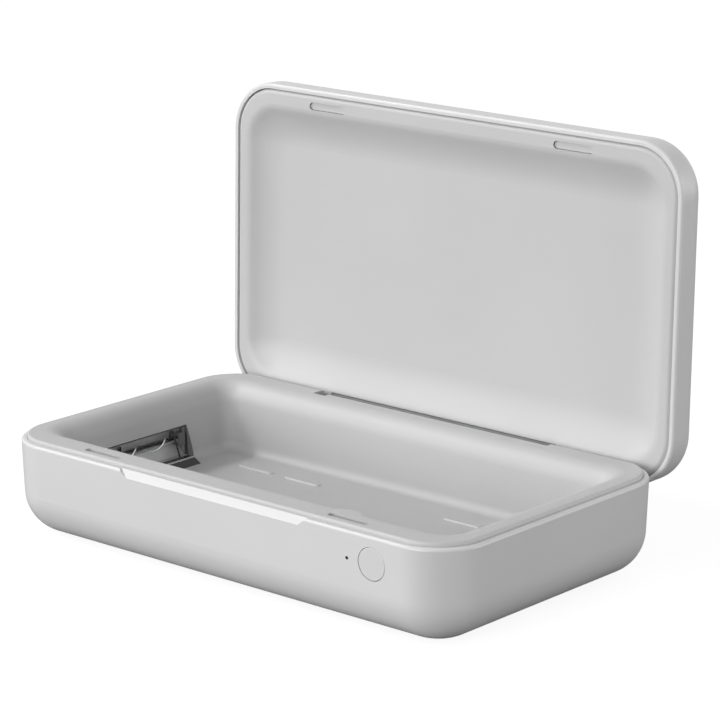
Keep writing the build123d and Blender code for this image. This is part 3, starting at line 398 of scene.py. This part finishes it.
def woundFerrite(name, look, middles):
    # a transformer: black ferrite ends with yellow tape wound round the middle
    material, tree = newMaterial(name)
    place = addNode(tree, "ShaderNodeTexCoord").outputs["Object"]
    across = addNode(tree, "ShaderNodeSeparateXYZ", links={"Vector": place}).outputs["X"]
    half = look["length"] * mm / 2 * look["tapeShare"]
    left, right = [addNode(tree, "ShaderNodeMath", {"operation": "COMPARE", 1: middle, 2: half}, {0: across})
                   for middle in middles]
    taped = addNode(tree, "ShaderNodeMath", {"operation": "MAXIMUM"},
                    {0: left.outputs[0], 1: right.outputs[0]}).outputs[0]
    wraps = addNode(tree, "ShaderNodeTexWave",
                    {"Scale": waveLength / (look["wrap"] * mm), "Distortion": 0.6, "bands_direction": "X"},
                    {"Vector": place}).outputs["Color"]
    tape = addNode(tree, "ShaderNodeMixRGB",
                   {1: linear(shade(look["tape"], 0.9)), 2: linear(look["tape"])}, {0: wraps})
    colour = addNode(tree, "ShaderNodeMixRGB", {1: linear(look["core"])}, {0: taped, 2: tape.outputs[0]})
    ridges = addNode(tree, "ShaderNodeBump", {"Distance": look["wrapDepth"] * mm}, {"Height": wraps})
    skin = addNode(tree, "ShaderNodeBsdfPrincipled", {"Roughness": look["roughness"]},
                   {"Base Color": colour.outputs[0], "Normal": ridges.outputs[0]})
    addNode(tree, "ShaderNodeOutputMaterial", links={"Surface": skin.outputs[0]})
    return material


# mm for the gel
ledLook = {"frame": "#F1EFE8", "gel": "#E9C545", "roughness": 0.3, "gelRadius": 0.5}


def ledPackage(name, look, middle):
    # a small white package with a round of yellow phosphor gel in it
    material, tree = newMaterial(name)
    place = addNode(tree, "ShaderNodeTexCoord").outputs["Object"]
    away = addNode(tree, "ShaderNodeVectorMath", {"operation": "DISTANCE", 1: middle},
                   {0: place}).outputs["Value"]
    gel = addNode(tree, "ShaderNodeMath", {"operation": "LESS_THAN", 1: look["gelRadius"] * mm}, {0: away})
    colour = addNode(tree, "ShaderNodeMixRGB", {1: linear(look["frame"]), 2: linear(look["gel"])},
                     {0: gel.outputs[0]})
    skin = addNode(tree, "ShaderNodeBsdfPrincipled", {"Roughness": look["roughness"]},
                   {"Base Color": colour.outputs[0], "Normal": relief(tree, place, depth=0.003, size=0.2)})
    addNode(tree, "ShaderNodeOutputMaterial", links={"Surface": skin.outputs[0]})
    return material


# mm; the contacts are drawn coarser than real ones, so that they show
socketLook = {
    "shell": "#B4B8BC",
    "tongue": "#161617",
    "contact": "#D0A24A",
    "contactPitch": 3.1416,
    "tongueHalf": (3.36, 0.36),
    "roughness": 0.25,
}


def inletMaterial(name, look, middle):
    # a drawn steel shell round a black tongue with gold contacts across it
    material, tree = newMaterial(name)
    place = addNode(tree, "ShaderNodeTexCoord").outputs["Object"]
    offset = addNode(tree, "ShaderNodeVectorMath", {"operation": "SUBTRACT", 1: middle}, {0: place})
    size = addNode(tree, "ShaderNodeVectorMath", {"operation": "ABSOLUTE"}, {0: offset.outputs["Vector"]})
    parts = addNode(tree, "ShaderNodeSeparateXYZ", links={"Vector": size.outputs["Vector"]})
    halfWidth, halfHeight = look["tongueHalf"]
    inside = addNode(tree, "ShaderNodeMath", {"operation": "LESS_THAN", 1: halfWidth * mm},
                     {0: parts.outputs["X"]})
    level = addNode(tree, "ShaderNodeMath", {"operation": "LESS_THAN", 1: halfHeight * mm},
                    {0: parts.outputs["Z"]})
    onTongue = addNode(tree, "ShaderNodeMath", {"operation": "MULTIPLY"},
                       {0: inside.outputs[0], 1: level.outputs[0]}).outputs[0]
    stripes = addNode(tree, "ShaderNodeTexWave",
                      {"Scale": waveLength / (look["contactPitch"] * mm), "bands_direction": "X"},
                      {"Vector": place}).outputs["Fac"]
    contacts = addNode(tree, "ShaderNodeMath", {"operation": "GREATER_THAN", 1: 0.6}, {0: stripes})
    tongue = addNode(tree, "ShaderNodeMixRGB", {1: linear(look["tongue"]), 2: linear(look["contact"])},
                     {0: contacts.outputs[0]})
    colour = addNode(tree, "ShaderNodeMixRGB", {1: linear(look["shell"])},
                     {0: onTongue, 2: tongue.outputs[0]})
    bare = addNode(tree, "ShaderNodeMath", {"operation": "SUBTRACT", 0: 1.0}, {1: onTongue})
    gloss = uneven(tree, place, look["roughness"] - 0.04, look["roughness"] + 0.04, size=0.6, detail=2.0)
    skin = addNode(tree, "ShaderNodeBsdfPrincipled",
                   links={"Base Color": colour.outputs[0], "Metallic": bare.outputs[0], "Roughness": gloss})
    addNode(tree, "ShaderNodeOutputMaterial", links={"Surface": skin.outputs[0]})
    return material


def dress(material, *names):
    for name in names:
        slots = nodes[name].data.materials
        if not slots:
            slots.append(material)
        for i in range(len(slots)):
            slots[i] = material


# grain, line, ripple, pitch and depths are in mm
caseLook = {"colour": "#DFDFDF", "roughness": 0.34, "grain": 0.35, "grainDepth": 0.003}
liningLook = {"colour": "#CBCBCB", "roughness": 0.5, "grain": 0.5, "grainDepth": 0.005}
buttonLook = {"colour": "#DBDBDB", "roughness": 0.38, "grain": 0.3, "grainDepth": 0.002}
baseCapLook = {"colour": "#A9AAAB", "roughness": 0.5, "grain": 0.4, "grainDepth": 0.004}
lidCapLook = {"colour": "#CBCBCB", "roughness": 0.5, "grain": 0.4, "grainDepth": 0.004}
hingeLook = {"colour": "#ABACAD", "roughness": 0.48, "grain": 0.4, "grainDepth": 0.004}
holderLook = {"colour": "#77787A", "roughness": 0.6, "grain": 0.25, "grainDepth": 0.01}
terminalLook = {"colour": "#0B0B0C", "roughness": 0.3, "grain": 0.4, "grainDepth": 0.004}
componentLook = {"colour": "#1B1B1D", "roughness": 0.55, "grain": 0.15, "grainDepth": 0.01}
nylonLook = {"colour": "#E8E6DC", "roughness": 0.4, "grain": 0.4, "grainDepth": 0.004}
cableLook = {"colour": "#D9D9D6", "roughness": 0.5, "grain": 0.6, "grainDepth": 0.01}
rubberLook = {"colour": "#5E5F61", "dust": "#8A8987", "roughness": 0.82, "grain": 0.3, "grainDepth": 0.02}
lightPipeLook = {"colour": "#9FA3A6", "roughness": 0.2, "index": 1.58, "ripple": 1.0, "rippleDepth": 0.005}
steelLook = {"colour": "#B9BDC2", "metal": 1.0, "roughness": 0.26, "line": 0.3, "lineDepth": 0.002}
nickelLook = {"colour": "#CFC9BE", "metal": 1.0, "roughness": 0.14, "line": 0.8, "lineDepth": 0.001}
coilLook = {"colour": "#E4E6E9", "metal": 1.0, "roughness": 0.18, "line": 0.2, "lineDepth": 0.002}
# anodising leaves a milky skin, so less of the light mirrors
reflectorLook = {"colour": "#F0F0F0", "metal": 0.4, "roughness": 0.45, "line": 0.25, "lineDepth": 0.003}

# the edge in mm; edge is painted shade along the wall's ends and top, and turn is how soon painted shade
# darkens a wall that curves away from the lens
windowLook = {
    "colour": "#FCFCFC",
    "edge": "#A8A8A8",
    "edgeWidth": 0.16,
    "turn": 0.01,
    "roughness": 0.05,
    "index": 1.49,
    "gleam": 0.3,
}

dress(mouldedPlastic("caseAbs", caseLook), "base_shell", "lid_shell")
dress(mouldedPlastic("trayAbs", liningLook, paintedHighlightRibSides), "base_tray")
dress(mouldedPlastic("linerAbs", liningLook), "lid_liner")
dress(mouldedPlastic("buttonAbs", buttonLook), "power_button")
dress(mouldedPlastic("baseCapAbs", baseCapLook), "base_magnet_caps")
dress(mouldedPlastic("lidCapAbs", lidCapLook), "lid_magnet_caps")
dress(mouldedPlastic("hingeNylon", hingeLook), "hinge_bracket", "hinge_leaf")
dress(mouldedPlastic("holderSilicone", holderLook), *bothSides("lamp_holders"))
dress(mouldedPlastic("switchPlastic", componentLook), "switch_body", "switch_plunger")
dress(mouldedPlastic("chipEpoxy", componentLook), "control_chips", "lid_sensor")
dress(mouldedPlastic("connectorNylon", nylonLook), "board_connectors")
dress(mouldedPlastic("cablePvc", cableLook), "button_cable", "inlet_cable", *bothSides("lamp_leads"))
dress(mouldedPlastic("terminalSleeve", terminalLook), *bothSides("lamp_terminals"))
dress(rubber("footRubber", rubberLook), "rubber_feet")
dress(clearWall("windowPolycarbonate", windowLook, *nodeBox("lamp_cover_left")), *bothSides("lamp_cover"))
dress(clearPart("lightPipePolycarbonate", lightPipeLook), "led_light_pipe")
dress(drawnMetal("reflectorAluminium", reflectorLook, (1.0, 0.05, 1.0)), *bothSides("lamp_reflector"))
dress(drawnMetal("coilSteel", coilLook), *bothSides("lamp_coil"))
steel = drawnMetal("zincSteel", steelLook)
dress(steel, "case_screws", "hinge_screws", "leaf_screws")
dress(steel, "board_screws", "button_board_screws", "inlet_screws")
dress(drawnMetal("pinSteel", steelLook, (0.05, 1.0, 1.0)), "hinge_pin")
dress(drawnMetal("magnetNickel", nickelLook), "base_magnets", "lid_magnets", "sensor_magnet")
dress(circuitBoard("boardGlassFibre", boardLook), "main_board", "button_board", "inlet_board")

low, high = nodeBox("lamp_transformers")
halfCore = ferriteLook["length"] * mm / 2
wound = woundFerrite("transformerFerrite", ferriteLook, (low.x + halfCore, high.x - halfCore))
dress(wound, "lamp_transformers")

low, high = nodeBox("status_led")
gelMiddle = Vector(((low.x + high.x) / 2, low.y, (low.z + high.z) / 2))
dress(ledPackage("ledEpoxy", ledLook, gelMiddle), "status_led")

low, high = nodeBox("inlet_socket")
dress(inletMaterial("inletSteel", socketLook, (low + high) / 2), "inlet_socket")
print("frame dressed")


def newPiece(name, shape, body, *materials, bore=()):
    # a bore's faces point into its hollow, and all others outwards
    mesh = bpy.data.meshes.new(name)
    bmesh.ops.recalc_face_normals(shape, faces=shape.faces)
    bmesh.ops.reverse_faces(shape, faces=list(bore))
    shape.to_mesh(mesh)
    shape.free()
    for material in materials:
        mesh.materials.append(material)
    piece = bpy.data.objects.new(name, mesh)
    bpy.context.scene.collection.objects.link(piece)
    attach(piece, body)
    return piece


def turnProfile(shape, profile, middle, rings):
    # spins (distance along y, radius) points about an axis along y through the middle
    made = [shape.verts.new(middle + Vector((radius, along, 0))) for along, radius in profile]
    edges = [shape.edges.new(pair) for pair in zip(made, made[1:])]
    bmesh.ops.spin(shape, geom=made + edges, cent=middle, axis=(0, 1, 0), angle=2 * math.pi, steps=rings,
                   use_merge=True)
    bmesh.ops.remove_doubles(shape, verts=shape.verts, dist=0.01 * mm)


def roundEnd(half, radius, steps=8):
    # a rod's profile from one domed end to the other
    turns = [math.pi / 2 * step / steps for step in range(steps + 1)]
    near = [(-half + radius - radius * math.cos(turn), radius * math.sin(turn)) for turn in turns]
    return near + [(-along, distance) for along, distance in reversed(near)]


# mm, but for the counts of rings; the dark core rod is painted shade along the tube's top, and the bore
# below the frost top is painted light
lampTube = {
    "radius": 1.5,
    "rings": 40,
    "wall": 0.3,
    "coreRadius": 0.6,
    "coreRings": 20,
    "coreLift": 0.55,
    "coreEnd": 1.6,
    "paintedLightTop": -0.1,
}


def buildTube(side, quartz, core, paintedLight):
    # a clear quartz tube, its bore painted light below and with a dark rod along the top as painted shade
    low, high = nodeBox(f"lamp_tube_{side}")
    middle = (low + high) / 2
    half = (high.y - low.y) / 2
    radius = lampTube["radius"] * mm
    bore = radius - lampTube["wall"] * mm
    shape = bmesh.new()
    turnProfile(shape, roundEnd(half, radius), middle, lampTube["rings"])
    outer = len(shape.faces)
    turnProfile(shape, roundEnd(half - lampTube["wall"] * mm, bore), middle, lampTube["rings"])
    shape.faces.ensure_lookup_table()
    wall = shape.faces[outer:]
    # the bore's lower faces take painted light
    for face in wall:
        if face.calc_center_median().z < middle.z + lampTube["paintedLightTop"] * mm:
            face.material_index = 2
    coreMiddle = middle + Vector((0, 0, lampTube["coreLift"] * mm))
    before = len(shape.faces)
    coreRadius = lampTube["coreRadius"] * mm
    turnProfile(shape, roundEnd(half - lampTube["coreEnd"] * mm, coreRadius), coreMiddle,
                lampTube["coreRings"])
    shape.faces.ensure_lookup_table()
    # the rod takes painted shade
    for face in shape.faces[before:]:
        face.material_index = 1
    for face in shape.faces:
        face.smooth = True
    piece = newPiece(f"lampTube_{side}", shape, "base", quartz, core, paintedLight, bore=wall)
    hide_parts(f"lamp_tube_{side}")


# mm, but for the count of segments
lampSill = {"slope": 4.0, "heel": 4.9, "edgeRound": 0.55, "segments": 4}


def buildSill(side, black, paintedHighlight):
    # a glossy black bar with a painted highlight, a white bead, along its upper edge
    low, high = nodeBox(f"lamp_sill_{side}")
    direction = sides[side]
    toe, back = (low.x, high.x) if direction > 0 else (high.x, low.x)
    brow = toe + direction * lampSill["slope"] * mm
    heel = toe + direction * lampSill["heel"] * mm
    outline = [(toe, low.z), (brow, high.z), (back, high.z), (heel, low.z)]
    shape = bmesh.new()
    end = shape.faces.new([shape.verts.new((x, low.y, z)) for x, z in outline])
    drawn = bmesh.ops.extrude_face_region(shape, geom=[end])["geom"]
    moved = [part for part in drawn if isinstance(part, bmesh.types.BMVert)]
    bmesh.ops.translate(shape, verts=moved, vec=(0, high.y - low.y, 0))
    ridge = [edge for edge in shape.edges
             if all(abs(vert.co.x - brow) < 0.001 * mm for vert in edge.verts)]
    rolled = bmesh.ops.bevel(shape, geom=ridge, offset=lampSill["edgeRound"] * mm,
                             segments=lampSill["segments"], profile=0.5, affect="EDGES", material=-1)
    # the bead's faces take the painted highlight
    for face in rolled["faces"]:
        face.material_index = 1
        face.smooth = True
    piece = newPiece(f"lampSill_{side}", shape, "base", black, paintedHighlight)
    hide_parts(f"lamp_sill_{side}")


sillLook = {"colour": "#1A1A1B", "roughness": 0.16, "grain": 1.5, "grainDepth": 0.002}
# painted light: the white of the tube's lower bore and of the sill's bead
paintedLightLook = {"colour": "#F4F4F4", "roughness": 0.3, "grain": 0.3, "grainDepth": 0.002}
# painted shade: the black of the rod along the tube's top
paintedShadeRodLook = {"colour": "#060607", "roughness": 0.35, "grain": 0.4, "grainDepth": 0.003}
# the tube's wall takes the same painted shade where it curves away from the lens; its edge band has no width
quartzLook = {
    "colour": "#FAFAFA",
    "edge": "#B8B8B8",
    "edgeWidth": 0.0,
    "turn": 0.2,
    "roughness": 0.04,
    "index": 1.46,
    "gleam": 0.4,
}

quartz = clearWall("lampQuartz", quartzLook, *nodeBox("lamp_tube_left"))
core = mouldedPlastic("paintedShadeRod", paintedShadeRodLook)
sillBlack = mouldedPlastic("sillPolycarbonate", sillLook)
paintedLight = mouldedPlastic("paintedLightWhite", paintedLightLook)
for side in sides:
    buildTube(side, quartz, core, paintedLight)
    buildSill(side, sillBlack, paintedLight)
print("lamps built")
